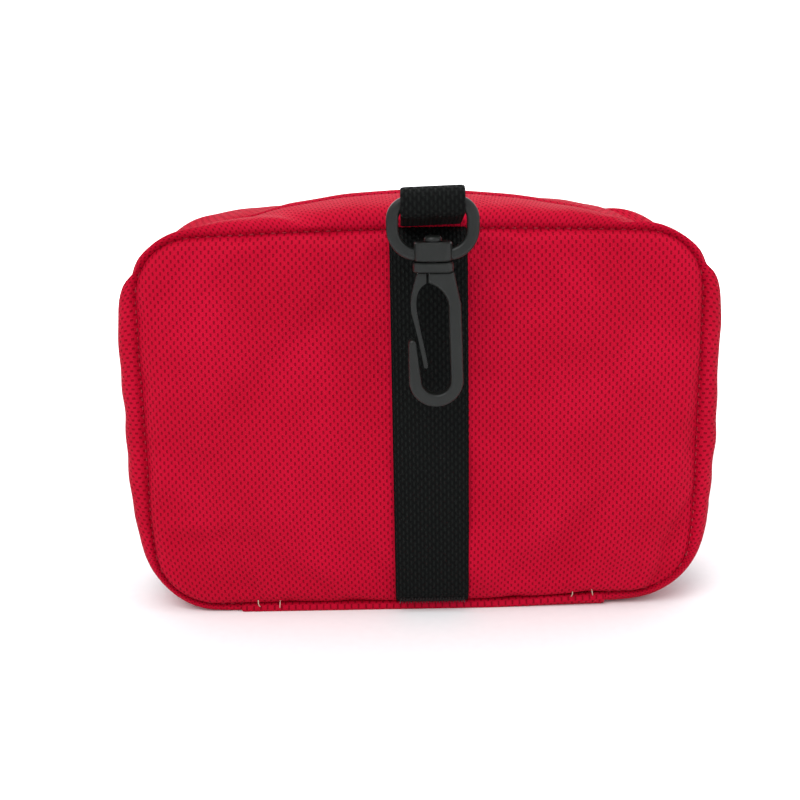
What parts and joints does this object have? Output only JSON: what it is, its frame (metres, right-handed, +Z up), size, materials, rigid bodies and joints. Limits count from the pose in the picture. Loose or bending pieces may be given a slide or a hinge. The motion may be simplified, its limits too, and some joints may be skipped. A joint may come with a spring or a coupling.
{
  "type": "first aid kit",
  "caption": "Soft zip-round first aid pouch with a belt strap, a swivel snap hook on a webbing loop, a fold-down cover and its supplies.",
  "frame": {"origin": "centre of the bottom gusset's underside, straight below the closed zip", "axes": "+Z up as the pouch stands, +X along its width, -Y out of the back with the belt strap, +Y out of the front cover"},
  "size_m": [0.2048, 0.0768, 0.1449],
  "materials": {
    "red_cloth": "coated woven polyester, semi-matte",
    "black_webbing": "woven nylon webbing, matte",
    "foam": "closed-cell foam, matte",
    "lining": "thin woven nylon, matte",
    "binding": "folded woven tape, matte",
    "zip_tape": "herringbone woven tape, matte",
    "zip_coil": "nylon coil, satin",
    "net": "open polyester mesh, matte",
    "elastic": "woven elastic, matte",
    "black_plastic": "moulded acetal, satin",
    "black_metal": "die-cast zinc, satin black paint",
    "gauze": "cotton gauze, matte",
    "tape": "woven adhesive tape, matte",
    "card": "grey-board tube, matte",
    "paper_wrap": "sterile paper wrap, matte",
    "foil": "laminated film sachet, glossy",
    "film": "clear film bag, glossy",
    "steel": "stainless steel, satin",
    "red_plastic": "moulded grips, glossy"
  },
  "bodies": {
    "tray": {"back_panel_shell": "red_cloth", "back_panel_foam": "foam", "back_lining": "lining", "back_gusset": "red_cloth", "bottom_gusset": "red_cloth", "back_seam_binding": "binding", "zip_tape_back": "zip_tape", "zip_coil_back": "zip_coil", "zip_end_tabs": "red_cloth", "belt_strap": "black_webbing", "tray_pocket_net": "net", "tray_elastic_band": "elastic", "bandage_wide": "gauze", "bandage_narrow": "gauze", "tape_core": "card", "tape_roll": "tape", "triangular_bandage": "paper_wrap", "gauze_packets": "paper_wrap"},
    "cover": {"front_panel_shell": "red_cloth", "front_panel_foam": "foam", "front_lining": "lining", "front_gusset": "red_cloth", "front_seam_binding": "binding", "zip_tape_front": "zip_tape", "zip_coil_front": "zip_coil", "cover_pocket_net": "net", "plaster_strips": "paper_wrap", "wipe_sachets": "foil", "gloves_packet": "film", "leaflet": "paper_wrap", "scissors_keepers": "elastic", "tweezers_keeper": "elastic", "scissors_blade_fixed": "steel", "scissors_grip_fixed": "red_plastic", "scissors_rivet": "steel", "tweezers_arm_fixed": "steel"},
    "slider": {"zip_slider": "black_metal"},
    "pull": {"zip_pull": "black_metal"},
    "loop": {"hook_loop": "black_webbing"},
    "ring": {"swivel_ring": "black_plastic"},
    "hook": {"snap_hook": "black_plastic"},
    "gate": {"hook_gate": "black_plastic"},
    "scissors_half": {"scissors_blade_moving": "steel", "scissors_grip_moving": "red_plastic"},
    "tweezers_arm": {"tweezers_arm_moving": "steel"}
  },
  "joints": [
    {"name": "cover_open", "type": "hinge", "parent": "tray", "child": "cover", "pos_m": [0, 0.0253, 0], "axis": [-1, 0, 0], "range_deg": [0, 85]},
    {"name": "zip_slide", "type": "slide", "parent": "tray", "child": "slider", "axis": [0, 0, 1], "range_m": [0, 0.05]},
    {"name": "pull_swing", "type": "hinge", "parent": "slider", "child": "pull", "pos_m": [0.1031, 0, 0.045], "axis": [0, -1, 0], "range_deg": [0, 160]},
    {"name": "loop_flap", "type": "hinge", "parent": "tray", "child": "loop", "pos_m": [0.004, -0.0285, 0.1319], "axis": [-1, 0, 0], "range_deg": [0, 60]},
    {"name": "ring_swing", "type": "hinge", "parent": "loop", "child": "ring", "pos_m": [0.004, -0.0467, 0.1397], "axis": [-1, 0, 0], "range_deg": [0, 80]},
    {"name": "hook_swivel", "type": "hinge", "parent": "ring", "child": "hook", "pos_m": [0.004, -0.0467, 0.1216], "axis": [0, 0, 1], "continuous": true},
    {"name": "gate_flex", "type": "hinge", "parent": "hook", "child": "gate", "pos_m": [0.0004, -0.0467, 0.1167], "axis": [0, -1, 0], "range_deg": [0, 12], "stiffness_Nm_per_rad": 0.05},
    {"name": "scissors_open", "type": "hinge", "parent": "cover", "child": "scissors_half", "pos_m": [-0.038, 0.0141, 0.056], "axis": [0, 1, 0], "range_deg": [0, 40]},
    {"name": "tweezers_squeeze", "type": "hinge", "parent": "cover", "child": "tweezers_arm", "pos_m": [-0.07785, 0.017, 0.102], "axis": [0, 1, 0], "range_deg": [0, 5], "stiffness_Nm_per_rad": 0.1}
  ]
}
